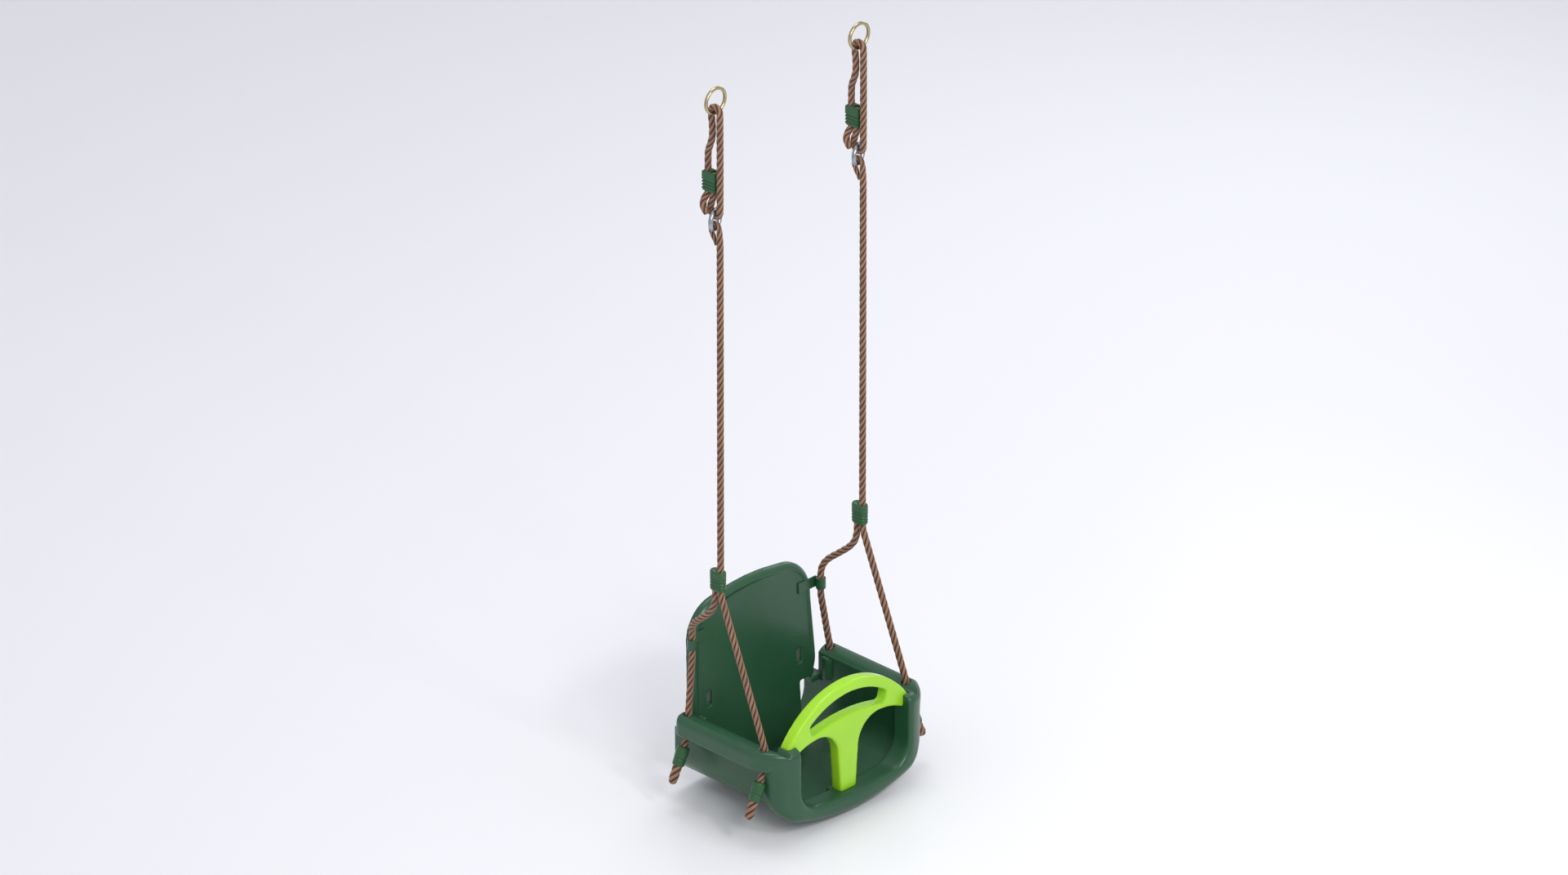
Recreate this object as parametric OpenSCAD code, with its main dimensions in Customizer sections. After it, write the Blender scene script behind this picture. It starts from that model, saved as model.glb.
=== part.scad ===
// Toddler bucket swing: a moulded seat with a backrest and a crossbar, hung on two
// ropes that each end in a length adjuster and a hanging ring.
// Frame: X across the seat, -Y to the front, +Z up. The origin lies midway between
// the centres of the two hanging rings, and everything hangs below it.

/* [Ropes] */
// Rope diameter
rope_d = 12; // [11:0.2:12]
// Distance between the left and the right rope
rope_span = 352; // [348:1:358]
// Rope hole in the seat rim, diameter
rope_hole_d = 17; // [16.5:0.25:18]

/* [Hanging rings] */
// Wire diameter of the hanging ring
hang_wire_d = 6.5; // [5.5:0.25:7.5]
// Inside diameter of the hanging ring
hang_bore_d = 39.5; // [37:0.5:60]

/* [Length adjusters] */
// Wire diameter of the link ring
link_wire_d = 8.4; // [7:0.2:8.4]
// Inside diameter of the link ring
link_bore_d = 27; // [26.5:0.1:27.2]
// Height of the slider block
block_h = 38; // [30:1:44]
// Wall of the slider block round its rope holes
block_wall = 1.7; // [1.4:0.1:2.2]
// Depth of the grip grooves round the slider block
block_groove = 0.9; // [0.5:0.1:1.1]
// Gap between a rope and the hole that it slides in
slide_gap = 0.35; // [0.2:0.05:0.5]

/* [Rope junctions] */
// Height of the sleeve where the two lower ropes meet
junction_h = 38; // [34:1:46]
// Wall of the junction sleeve round the ropes
junction_wall = 3.6; // [2.6:0.1:5]
// Gap between a rope and a sleeve that grips it
grip_gap = 0.15; // [0.1:0.05:0.3]

/* [Rope stops] */
// Length of the upper stop sleeve
stop_h = 21; // [17:0.5:24]
// Length of the lower stop collar
collar_h = 14; // [9:0.5:14]
// Outside diameter of the stop sleeve
stop_d = 23; // [19:0.5:26]
// Outside diameter of the stop collar
collar_d = 22; // [20:0.5:25]
// Diameter of the doubled rope tail that the collar sits on
tail_d = 16.4; // [15:0.2:17]

/* [Seat shell] */
// Half width of the seat over its rims
rim_half_w = 199; // [194:1:215]
// Half width between the inner edges of the rims
rim_inner = 162; // [160:0.5:163]
// Height of the rim's outer lip
lip_h = 37; // [28:1:44]
// Wall of the moulded shell
shell_t = 4.5; // [3:0.25:5.5]
// Half width of the trough, outside
trough_half_w = 163; // [160.5:0.5:164]
// Depth of the trough at its middle
trough_depth = 160; // [150:1:175]
// Radius of the trough's lower corners
trough_corner_r = 52; // [40:1:64]
// Sag radius of the curved floor
floor_sag_r = 420; // [380:5:700]
// Front end of the rim, from the rope plane
front_y = 160; // [156:1:175]
// Back end of the trough, from the rope plane
back_y = 127; // [112:1:140]
// Back end of the side rims, from the rope plane
rim_back_y = 92; // [89:0.5:96]
// Plan radius of the front corners
plan_corner_r = 68; // [55:1:74]
// Half width of the front opening between the lips
mouth_half_w = 134; // [130:0.5:136]

/* [Crossbar] */
// Outer radius of the arched rail
arch_r = 180; // [178:0.5:182]
// Height of the top of the rail above the rope holes
arch_top = 76; // [72:0.5:82]
// Radial height of the rail
rail_h = 21; // [17:0.5:25]
// Thickness of the crossbar, front to back
bar_t = 25; // [20:0.5:26]
// Width of the stem at its foot
stem_w = 40; // [34:1:48]
// Depth of the stem's tongue in its socket
tongue_depth = 16; // [10:0.5:20]
// Gap round the crossbar where it seats in the shell
bar_gap = 0.4; // [0.3:0.05:0.8]

/* [Backrest] */
// Height of the backrest above the rope holes
back_h = 195; // [180:1:230]
// Half width of the backrest at the rim
back_half_w = 156; // [150:0.5:157]
// Half width of the backrest at the straps
back_top_half_w = 151; // [146:0.5:152]
// Radius of the backrest's top corners
back_corner_r = 72; // [55:1:85]
// Thickness of the backrest panel
back_t = 4; // [3:0.25:5]
// Depth of the stiffening flange round the backrest
back_flange = 13; // [8:0.5:16]
// Half width of the foot of the backrest
foot_half_w = 112; // [100:1:116]
// Width of the four-sided slots in the backrest
slot_w = 12; // [8:0.5:16]
// Height of the slots in the backrest
slot_h = 28; // [20:0.5:34]

/* [Straps] */
// Height of the rope strap's band
strap_h = 20; // [14:0.5:24]
// Thickness of the rope strap
strap_t = 2.6; // [2:0.1:3]

/* [Hidden] */

side_x = rope_span / 2;
rope_r = rope_d / 2;
drop = 1214;          // hanging ring centre down to the rope holes
seat_y = -10.5;       // the rope plane lies this far in front of the ring plane

// Places of the rings' wires
link_y = 1;
link_z = -227;
link_yaw = 18;

// Rope routes: outward x, y, z and rope radius as a share of rope_r
ADJUSTER = [
    [-13, 8, -213, 0.9], [-13, 12, -209.5, 1], [-12, 17.5, -203, 1], [-8, 21.5, -196, 1],
    [-3, 21, -188, 1], [0, 18.5, -180, 1], [0, 17.5, -174, 1], [0, 17.5, -103, 1],
    [0, 12.5, -87, 1], [0, 8, -72, 1], [0, 7.5, -50, 1], [0, 10, -28, 1], [0, 9.2, -18, 1],
    [0, 5.3, -13.9, 1],
    [0, 0, -12.5, 1], [0, -5.3, -13.9, 1], [0, -9.2, -18, 1], [0, -10.5, -24, 1],
    [0, -10.5, -209, 1], [0, -9, -215, 1], [0, -5, -219.2, 1], [0, 1, -220.8, 1],
    [0, 7, -219.2, 1], [0, 11, -215, 1], [0, 12.5, -209, 1], [0, 10.5, -199, 1],
    [0, 6, -186, 1], [0, 4, -177, 1], [0, 4, -141, 1]];
MAIN_TOP = [
    [0, -1, -276, 0.4], [0, 2, -267, 0.6], [0, 6, -259.5, 0.75], [0, 9.5, -252, 0.77],
    [0, 10.7, -244.7, 0.77], [0, 9, -239.3, 0.77], [0, 5.5, -236, 0.77], [0, 1, -235, 0.77],
    [0, -3.5, -236, 0.77], [0, -7, -239.3, 0.77], [0, -8.7, -244.7, 0.8], [0, -9.6, -256, 0.9],
    [0, -10.5, -276, 1], [0, -10.5, -900, 1], [0, -10.5, -944, 1]];
MAIN_FOOT = [
    [0, -12, -954, 1], [0, -19, -972, 1], [0, -114, -1205, 1], [0, -117.5, -1217, 1],
    [0, -117.5, -1246, 1]];
BACK_TOP = [
    [0, 2.1, -914, 1], [0, 2.1, -950, 1], [0, 3, -966, 1], [0, 8, -983, 1], [-1, 20, -999, 1],
    [-4, 43, -1019, 1], [-10, 64, -1037, 1], [-14, 73, -1052, 1], [-16, 75, -1068, 1],
    [-16, 75, -1104, 1], [-14, 74.4, -1120, 1], [-2, 69.5, -1200, 1], [0, 68.5, -1212, 1],
    [0, 68.5, -1246, 1]];
// The stopped end leans outward: x, z and share, below the last point above
TAIL = [
    [3.2, -1256.5, 1], [21.4, -1293.8, 1], [21.8, -1294.7, 1.35], [38, -1327.9, 1.35],
    [40.6, -1333.2, 1.15], [41.9, -1335.9, 0.6]];

tail_lean = 26;                       // lean of the stopped ends, outward
stop_x = 11.7;
stop_z = -1274;

// Outline pieces
function arc(cx, cy, r, a0, a1, n) =
    [for (i = [0:n]) let (a = a0 + (a1 - a0) * i / n) [cx + r * cos(a), cy + r * sin(a)]];
function flip_x(pts) = [for (i = [len(pts) - 1:-1:0]) [-pts[i][0], pts[i][1]]];

// A tube swept along points of [x, y, z, radius]
function unit3(v) = v / norm(v);
function tube_dir(p, i) = unit3(
    (i == 0 ? p[1] - p[0] : i == len(p) - 1 ? p[i] - p[i - 1]
     : unit3(p[i + 1] - p[i]) + unit3(p[i] - p[i - 1])));
function ring3(c, d, r, n) =
    let (u = unit3(cross(abs(d[0]) > 0.8 ? [0, 1, 0] : [1, 0, 0], d)), v = cross(d, u))
    [for (k = [0:n - 1]) c + r * (cos(360 * k / n) * u + sin(360 * k / n) * v)];

module tube(pts, n = 10) {
    p = [for (q = pts) [q[0], q[1], q[2]]];
    rings = [for (i = [0:len(p) - 1]) each ring3(p[i], tube_dir(p, i), pts[i][3] * rope_r, n)];
    last = (len(p) - 1) * n;
    faces = concat(
        [[for (k = [0:n - 1]) k]],
        [for (i = [0:len(p) - 2]) for (k = [0:n - 1]) let (j = (k + 1) % n)
            each [[i * n + k, (i + 1) * n + k, (i + 1) * n + j], [i * n + k, (i + 1) * n + j, i * n + j]]],
        [[for (k = [n - 1:-1:0]) last + k]]);
    polyhedron(points = rings, faces = faces, convexity = 8);
}

module torus(bore_d, wire_d) {
    rotate([90, 0, 0])
        rotate_extrude($fn = 64)
            translate([(bore_d + wire_d) / 2, 0]) circle(d = wire_d, $fn = 32);
}

// Closed rings
module hanging_ring(side) {
    color([0.78, 0.70, 0.48])
        translate([side * side_x, 0, 0]) torus(hang_bore_d, hang_wire_d);
}

module link_ring(side) {
    color([0.72, 0.74, 0.76])
        translate([side * side_x, link_y, link_z])
            rotate([0, 0, link_yaw]) torus(link_bore_d, link_wire_d);
}

// Ropes
function placed(pts, side, lean_side) =
    [for (q = pts) [side * side_x + lean_side * q[0], q[1], q[2], q[3]]];
function tail_points(y) = [for (q = TAIL) [q[0], y, q[1], q[2]]];

module adjuster_rope(side) {
    color([0.45, 0.29, 0.20]) tube(placed(ADJUSTER, side, 1));
}

module main_rope(side) {
    color([0.50, 0.33, 0.24])
        tube(placed(concat(MAIN_TOP, MAIN_FOOT, tail_points(MAIN_FOOT[len(MAIN_FOOT) - 1][1])), side, side));
}

module back_rope(side) {
    color([0.50, 0.33, 0.24])
        tube(placed(concat(BACK_TOP, tail_points(BACK_TOP[len(BACK_TOP) - 1][1])), side, side));
}

// Slider block with two rope holes side by side
block_bore_r = rope_r + slide_gap;
block_front_hole_y = 4;
block_back_hole_y = 17.5;
block_y = (block_front_hole_y + block_back_hole_y) / 2;
block_w = 2 * (block_bore_r + block_wall) + block_back_hole_y - block_front_hole_y;
block_t = 2 * (block_bore_r + block_wall);
block_z = -156;
block_chamfer = 3;

block_grooves = 3;
block_groove_h = block_h * 0.05;
block_groove_pitch = block_h * 0.16;
block_lowest_groove_z = -block_h * 0.32;

module block_body() {
    translate([0, 0, -block_h / 2])
        linear_extrude(block_h) square([block_t, block_w], center = true);
}

module slider_block(side) {
    color([0.16, 0.36, 0.18])
        translate([side * side_x, block_y, block_z])
            difference() {
                intersection() {
                    block_body();
                    rotate([90, 0, 90])
                        translate([0, 0, -block_t])
                            linear_extrude(2 * block_t)
                                polygon([[-block_w / 2 + block_chamfer, -block_h / 2],
                                         [block_w / 2 - block_chamfer, -block_h / 2],
                                         [block_w / 2, -block_h / 2 + block_chamfer],
                                         [block_w / 2, block_h / 2 - block_chamfer],
                                         [block_w / 2 - block_chamfer, block_h / 2],
                                         [-block_w / 2 + block_chamfer, block_h / 2],
                                         [-block_w / 2, block_h / 2 - block_chamfer],
                                         [-block_w / 2, -block_h / 2 + block_chamfer]]);
                }
                for (k = [0:block_grooves - 1])
                    translate([0, 0, block_lowest_groove_z + k * block_groove_pitch])
                        difference() {
                            cube([2 * block_t, 2 * block_w, block_groove_h], center = true);
                            cube([block_t - 2 * block_groove, block_w - 2 * block_groove, block_h],
                                 center = true);
                        }
                for (y = [block_front_hole_y, block_back_hole_y])
                    translate([0, y - block_y, -block_h])
                        cylinder(r = block_bore_r, h = 2 * block_h, $fn = 48);
            }
}

// Junction sleeve: the main rope runs through it, the back rope starts in it
junction_top = -905;
junction_gap_y = 12.6;
junction_bore_r = rope_r + grip_gap;
junction_r = junction_bore_r + junction_wall;

module junction_oval(h, r) {
    linear_extrude(h)
        union() {
            circle(r = r, $fn = 64);
            translate([0, junction_gap_y]) circle(r = r, $fn = 64);
            translate([-r, 0]) square([2 * r, junction_gap_y]);
        }
}

module rope_junction(side) {
    band_h = junction_h / 8;
    color([0.16, 0.38, 0.20])
        translate([side * side_x, seat_y, junction_top])
            difference() {
                union() {
                    translate([0, 0, -junction_h * 0.42]) junction_oval(junction_h * 0.42, junction_r);
                    translate([0, 0, -junction_h]) junction_oval(junction_h, junction_r - 1.4);
                    for (k = [0:2])
                        translate([0, 0, -junction_h * 0.90 + k * junction_h * 0.15])
                            junction_oval(band_h * 0.8, junction_r - 0.2);
                }
                translate([0, 0, -2 * junction_h]) cylinder(r = junction_bore_r, h = 3 * junction_h, $fn = 48);
                translate([0, junction_gap_y, -2 * junction_h])
                    cylinder(r = junction_bore_r, h = 2 * junction_h - 8.5, $fn = 48);
            }
}

// Stop sleeve and collar on a rope's leaning lower end
stop_chamfer = 3;
stop_seam = 0.3;       // between the sleeve and the collar

module on_tail(side, y) {
    translate([side * (side_x + stop_x), y, stop_z])
        rotate([0, -side * tail_lean, 0])
            mirror([0, 0, 1]) children();
}

module stop_sleeve(side, y) {
    color([0.24, 0.48, 0.26])
        on_tail(side, y)
            difference() {
                union() {
                    translate([0, 0, stop_chamfer]) cylinder(d = stop_d, h = stop_h - stop_chamfer, $fn = 48);
                    cylinder(d1 = stop_d - 2 * stop_chamfer, d2 = stop_d, h = stop_chamfer, $fn = 48);
                }
                translate([0, 0, -1]) cylinder(r = rope_r + grip_gap, h = stop_h + 2, $fn = 48);
            }
}

module stop_collar(side, y) {
    color([0.24, 0.48, 0.26])
        on_tail(side, y)
            translate([0, 0, stop_h + stop_seam])
                difference() {
                    cylinder(d = collar_d, h = collar_h, $fn = 48);
                    translate([0, 0, -1])
                        cylinder(d = tail_d + 2 * grip_gap, h = collar_h + 2, $fn = 48);
                }
}

front_hole_y = -117.5;
back_hole_y = 68.5;
front_hole_local = front_hole_y - seat_y;
back_hole_local = back_hole_y - seat_y;

// Seat shell, drawn about the rope plane with the rim's top at z = 0
mouth_depth = 132.2;
mouth_corner_r = 48;
lip_inset = 16;        // the front lip stands this far inside the rim's outer edge
lip_extra = 8;         // and reaches this far below the trough

// Right half of a U-shaped outline whose floor is an arc that meets round corners
function half_trough(hw, depth, corner_r, sag_r, top) =
    let (cx = hw - corner_r, sag_z = sag_r - depth,
         cz = sag_z - sqrt(pow(sag_r - corner_r, 2) - cx * cx),
         meet = atan2(cz - sag_z, cx))
    concat([[hw, top]], arc(cx, cz, corner_r, 0, meet, 9), arc(0, sag_z, sag_r, meet, -90, 7));

module u_2d(hw, depth, corner_r, sag_r, top) {
    right = half_trough(hw, depth, corner_r, sag_r, top);
    polygon(concat(right, flip_x(right)));
}

module trough_2d(inset, top) {
    u_2d(trough_half_w - inset, trough_depth - inset, trough_corner_r - inset, floor_sag_r - inset, top);
}

module mouth_2d(top) {
    u_2d(mouth_half_w, mouth_depth, mouth_corner_r, 2 * floor_sag_r, top);
}

module lip_2d(inset) {
    u_2d(rim_half_w - lip_inset - inset, trough_depth + lip_extra - inset,
         trough_corner_r + lip_inset - inset, floor_sag_r - inset, -8);
}

module plan_2d(inset) {
    w = rim_half_w - inset;
    y = front_y - inset;
    r = plan_corner_r - inset;
    right = concat([[w, rim_back_y - inset]], arc(w - r, -(y - r), r, 0, -90, 12));
    polygon(concat(right, flip_x(right)));
}

// y runs along the extrusion, the outline stands in x and z
module along_y(y0, y1) {
    translate([0, y1, 0]) rotate([90, 0, 0]) linear_extrude(y1 - y0) children();
}

module rim_2d(inset, h) {
    for (m = [0, 1]) mirror([m, 0])
        polygon(concat([[rim_inner, -h], [rim_inner, -inset]],
                       arc(rim_half_w - 14, -14, 14 - inset, 90, 0, 8),
                       [[rim_half_w - inset, -h]]));
}

bar_front = 140;
bar_y = -bar_front;
bar_foot_z = -131.7;

module seat_body() {
    difference() {
        union() {
            // trough
            difference() {
                along_y(-front_y + 22, back_y) trough_2d(0, -1);
                along_y(-front_y, back_y + 1) trough_2d(shell_t, 5);
                translate([-300, rim_back_y, -47]) cube([600, 100, 100]);
            }
            // side rims, an inverted channel each
            intersection() {
                along_y(-front_y, rim_back_y) rim_2d(0, lip_h);
                translate([0, 0, -200]) linear_extrude(300) plan_2d(0);
            }
            // front lip
            intersection() {
                along_y(-front_y, -front_y + 42) lip_2d(0);
                translate([0, 0, -300]) linear_extrude(400) plan_2d(0);
            }
            rim_corner_bridge();
        }
        // hollow of the rims
        intersection() {
            along_y(-front_y, rim_back_y - shell_t) translate([0, -0.01]) rim_hollow_2d();
            translate([0, 0, -200]) linear_extrude(300) plan_2d(shell_t);
        }
        // hollow of the front lip, open to the back
        intersection() {
            difference() {
                along_y(-front_y, -front_y + 43) lip_2d(shell_t);
                along_y(-front_y - 1, -front_y + 44) trough_2d(0, 0);
            }
            translate([0, 0, -300]) linear_extrude(300 - lip_h) plan_2d(shell_t);
        }
        // front opening
        along_y(-front_y - 5, -front_y + 60) mouth_2d(20);
        rope_holes();
        crossbar_seat();
        stem_socket();
    }
}

module rim_hollow_2d() {
    for (m = [0, 1]) mirror([m, 0])
        polygon([[trough_half_w, -lip_h - 1], [trough_half_w, -shell_t],
                 [rim_half_w - 14, -shell_t], [rim_half_w - shell_t, -14],
                 [rim_half_w - shell_t, -lip_h - 1]]);
}

// Top of the front corners, between the rim and the opening
module rim_corner_bridge() {
    intersection() {
        for (m = [0, 1]) mirror([m, 0, 0])
            translate([mouth_half_w, -front_y, -lip_h]) cube([rim_inner - mouth_half_w + 1, 42, lip_h]);
        translate([0, 0, -200]) linear_extrude(300) plan_2d(0);
    }
}

module rope_holes() {
    for (m = [-1, 1]) for (y = [front_hole_local, back_hole_local])
        translate([m * side_x, y, -shell_t - 20])
            cylinder(d = rope_hole_d, h = shell_t + 40, $fn = 48);
}

// Crossbar outline, front view
arch_z = arch_top - arch_r;
end_x = 150;
end_top_z = arch_z + sqrt(arch_r * arch_r - end_x * end_x);
end_low = [136, -25];
leg_r = 50;
leg_x = 76;
leg_z = -58;

stem_flare_z = -95;    // the stem starts to widen here
shoulder_r = 120;      // from the leg opening's top out to the bar's end

module bar_half() {
    polygon(concat(
        [[-1, bar_foot_z], [stem_w / 2, bar_foot_z], [stem_w / 2 + 2, stem_flare_z]],
        arc(leg_x - 1, leg_z, leg_r, 180, 90, 20),
        arc(leg_x - 1, leg_z + leg_r - shoulder_r, shoulder_r, 84, 60, 6),
        [end_low, [end_x, end_top_z]],
        arc(0, arch_z, arch_r, asin((end_top_z - arch_z) / arch_r), 90, 32),
        [[-1, arch_top]]));
}

// Grip slot between the rail and the web
slot_half = 92;
slot_floor_z = 14;
slot_floor_r = 330;

module grip_slot_2d() {
    r_in = arch_r - rail_h;
    end_r = 6;
    top_a = acos((slot_half - end_r) / (r_in - end_r));
    right = concat(
        [[0, slot_floor_z]],
        [for (i = [1:6]) let (x = (slot_half - end_r) * i / 6)
            [x, slot_floor_z - slot_floor_r + sqrt(slot_floor_r * slot_floor_r - x * x)]],
        arc(slot_half - end_r, 8, end_r, -70, 0, 6),
        arc(0, arch_z, r_in, top_a - 3, 90, 24));
    polygon(concat(right, flip_x(right)));
}

module crossbar() {
    color([0.62, 0.84, 0.16])
        translate([0, seat_y, -drop])
            union() {
                difference() {
                    along_y(bar_y, bar_y + bar_t) union() {
                        bar_half();
                        mirror([1, 0]) bar_half();
                    }
                    along_y(bar_y - 1, bar_y + bar_t + 1) grip_slot_2d();
                }
                translate([-stem_w / 2 + 2, bar_y + 2, bar_foot_z - tongue_depth])
                    cube([stem_w - 4, bar_t - 4, tongue_depth + 1]);
            }
}

module crossbar_seat() {
    for (m = [0, 1]) mirror([m, 0, 0])
        along_y(bar_y - bar_gap, bar_y + bar_t + bar_gap)
            polygon([[end_low[0] - 40, end_low[1] - bar_gap], [end_low[0] + bar_gap, end_low[1] - bar_gap],
                     [end_x + bar_gap, end_top_z - bar_gap], [end_x + bar_gap, 30], [end_low[0] - 40, 30]]);
}

// The stem's tongue stands in a socket in a thick pad of the front lip
module stem_pad() {
    translate([-stem_w / 2 - 6, bar_y - 6, bar_foot_z - tongue_depth - 5])
        cube([stem_w + 12, bar_t + 12, tongue_depth + 5 - bar_gap]);
}

module stem_socket() {
    translate([-stem_w / 2 + 2 - bar_gap, bar_y + 2 - bar_gap, bar_foot_z - tongue_depth - bar_gap])
        cube([stem_w - 4 + 2 * bar_gap, bar_t - 4 + 2 * bar_gap, tongue_depth + 20]);
}

// Guides and ledges that hold the backrest's edges
ledge_z = -48;
ledge_gap = 0.9;       // the leaning flange reaches this far below the wing

module backrest_guides() {
    for (m = [0, 1]) mirror([m, 0, 0]) {
        translate([back_half_w - 7, 60, -52]) cube([trough_half_w - back_half_w + 6, 15, 42]);
        translate([136, 83, ledge_z - ledge_gap - 12]) cube([trough_half_w - 136 - 1, 14, 12]);
    }
}

module seat_shell() {
    color([0.10, 0.30, 0.18])
        translate([0, seat_y, -drop])
            difference() {
                union() {
                    seat_body();
                    stem_pad();
                    backrest_guides();
                }
                stem_socket();
            }
}

// Backrest: a leaning panel with a flange behind its edge
back_lean = 3.5;
back_panel_y = 91;
foot_gap = 0.6;
floor_in_r = floor_sag_r - shell_t;
function floor_z(x) = floor_sag_r - trough_depth - sqrt(floor_in_r * floor_in_r - x * x);
back_wing_half_w = 144;
strap_slot_x = 117;
strap_z = -1085 + drop;
slot_x = 112;
slot_frame_t = 2.5;    // wall round each slot, behind the panel
slot_frame_reach = 3;  // and how far it stands behind the flange

function back_half_outline(d) =
    concat([for (i = [0:6]) let (x = (foot_half_w - d) * i / 6) [x, floor_z(x) + foot_gap + d]],
           [[foot_half_w - d, ledge_z + d], [back_wing_half_w - d, ledge_z + d], [back_half_w - d, 0],
            [back_top_half_w - d, strap_z - 30]],
           arc(back_top_half_w - back_corner_r, back_h - 8 - back_corner_r, back_corner_r - d, 0, 80, 12),
           [[40, back_h - 2 - d], [0, back_h - d]]);

module back_2d(d) {
    right = back_half_outline(d);
    polygon(concat(right, flip_x(right)));
}

module back_openings_2d() {
    for (m = [-1, 1]) {
        translate([m * strap_slot_x, strap_z]) square([strap_t + 0.8, strap_h + 0.8], center = true);
        translate([m * slot_x, 0]) square([slot_w, slot_h], center = true);
    }
}

module slot_frames_2d() {
    for (m = [-1, 1])
        translate([m * slot_x, 0])
            square([slot_w + 2 * slot_frame_t, slot_h + 2 * slot_frame_t], center = true);
}

module in_backrest() {
    translate([0, seat_y + back_panel_y, -drop]) rotate([-back_lean, 0, 0]) children();
}

module backrest() {
    color([0.11, 0.33, 0.20])
        in_backrest()
            union() {
                along_y(0, back_t) difference() {
                    back_2d(0);
                    back_openings_2d();
                }
                along_y(0, back_flange + slot_frame_reach) difference() {
                    slot_frames_2d();
                    back_openings_2d();
                }
                difference() {
                    along_y(0, back_flange) back_2d(0);
                    along_y(-1, back_flange + 1) back_2d(3.5);
                    translate([-300, -1, -250]) cube([600, 60, 250 + ledge_z - 4]);
                }
            }
}

// Rope strap: a loop round the rope, a tail along the panel and a toggle behind it
strap_rope_x = side_x - 16;
strap_rope_y = 75;

module strap_plate(x0, x1, y0, y1) {
    in_backrest()
        translate([x0, y0, strap_z - strap_h / 2]) cube([x1 - x0, y1 - y0, strap_h]);
}

module rope_strap(side) {
    r = rope_r + slide_gap;
    front = -0.3;
    slot_x0 = strap_slot_x - strap_t / 2;
    color([0.14, 0.35, 0.22])
        mirror([side < 0 ? 1 : 0, 0, 0])
            difference() {
                union() {
                    translate([strap_rope_x, strap_rope_y, -drop + strap_z - strap_h / 2])
                        cylinder(r = r + strap_t, h = strap_h, $fn = 48);
                    strap_plate(strap_rope_x - 3, strap_rope_x, front - 8, front);
                    strap_plate(slot_x0, strap_rope_x, front - strap_t, front);
                    strap_plate(slot_x0, slot_x0 + strap_t, front - strap_t, back_t + 0.9);
                    strap_plate(strap_slot_x - 6, strap_slot_x + 6, back_t + 0.3, back_t + 0.3 + strap_t);
                }
                translate([strap_rope_x, strap_rope_y, -drop + strap_z - strap_h])
                    cylinder(r = r, h = 2 * strap_h, $fn = 48);
            }
}

hanging_ring(-1);  // hanging_ring_left
hanging_ring(1);  // hanging_ring_right
adjuster_rope(-1);  // adjuster_rope_left
adjuster_rope(1);  // adjuster_rope_right
slider_block(-1);  // slider_block_left
slider_block(1);  // slider_block_right
link_ring(-1);  // link_ring_left
link_ring(1);  // link_ring_right
main_rope(-1);  // main_rope_left
main_rope(1);  // main_rope_right
back_rope(-1);  // back_rope_left
back_rope(1);  // back_rope_right
rope_junction(-1);  // rope_junction_left
rope_junction(1);  // rope_junction_right
stop_sleeve(-1, front_hole_y);  // stop_sleeve_front_left
stop_sleeve(1, front_hole_y);  // stop_sleeve_front_right
stop_sleeve(-1, back_hole_y);  // stop_sleeve_back_left
stop_sleeve(1, back_hole_y);  // stop_sleeve_back_right
stop_collar(-1, front_hole_y);  // stop_collar_front_left
stop_collar(1, front_hole_y);  // stop_collar_front_right
stop_collar(-1, back_hole_y);  // stop_collar_back_left
stop_collar(1, back_hole_y);  // stop_collar_back_right
seat_shell();
backrest();
rope_strap(-1);  // rope_strap_left
rope_strap(1);  // rope_strap_right
crossbar();
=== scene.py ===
import math

import bmesh
import bpy
import numpy as np
from mathutils import Matrix, Vector


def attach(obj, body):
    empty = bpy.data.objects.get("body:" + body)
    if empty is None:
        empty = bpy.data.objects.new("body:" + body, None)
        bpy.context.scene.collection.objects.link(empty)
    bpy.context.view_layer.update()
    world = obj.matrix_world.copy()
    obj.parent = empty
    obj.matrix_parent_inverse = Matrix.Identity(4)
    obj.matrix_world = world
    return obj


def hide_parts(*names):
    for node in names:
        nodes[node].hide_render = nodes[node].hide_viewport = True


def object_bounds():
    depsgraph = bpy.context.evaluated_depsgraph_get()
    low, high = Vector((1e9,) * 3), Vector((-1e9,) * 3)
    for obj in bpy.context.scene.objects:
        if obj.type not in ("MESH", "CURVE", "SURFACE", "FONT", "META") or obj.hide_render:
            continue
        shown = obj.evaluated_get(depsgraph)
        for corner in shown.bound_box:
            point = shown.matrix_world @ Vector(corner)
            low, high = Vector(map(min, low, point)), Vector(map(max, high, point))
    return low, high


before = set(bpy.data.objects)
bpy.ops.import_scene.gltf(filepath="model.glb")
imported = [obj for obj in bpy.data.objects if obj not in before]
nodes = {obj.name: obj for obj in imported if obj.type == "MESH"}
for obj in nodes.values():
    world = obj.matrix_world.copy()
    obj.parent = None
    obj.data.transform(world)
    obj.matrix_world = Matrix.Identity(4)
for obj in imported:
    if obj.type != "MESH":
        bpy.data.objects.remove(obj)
cad_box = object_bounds()
SIDES = {"left": -1, "right": 1}


# Studio: a pale sweep, one large soft key from the front left, a weak fill and an even sky.
# The swing hangs just clear of the floor. The camera is far off, so the view is nearly parallel.
AZIMUTH, ELEVATION = math.radians(-45.6), math.radians(27.4)
CAMERA_DISTANCE = 32.0
PICTURE_WIDTH = 2.688
AIM_RIGHT, AIM_UP = -0.006, -0.633
FLOOR_CLEARANCE = 0.006

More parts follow.
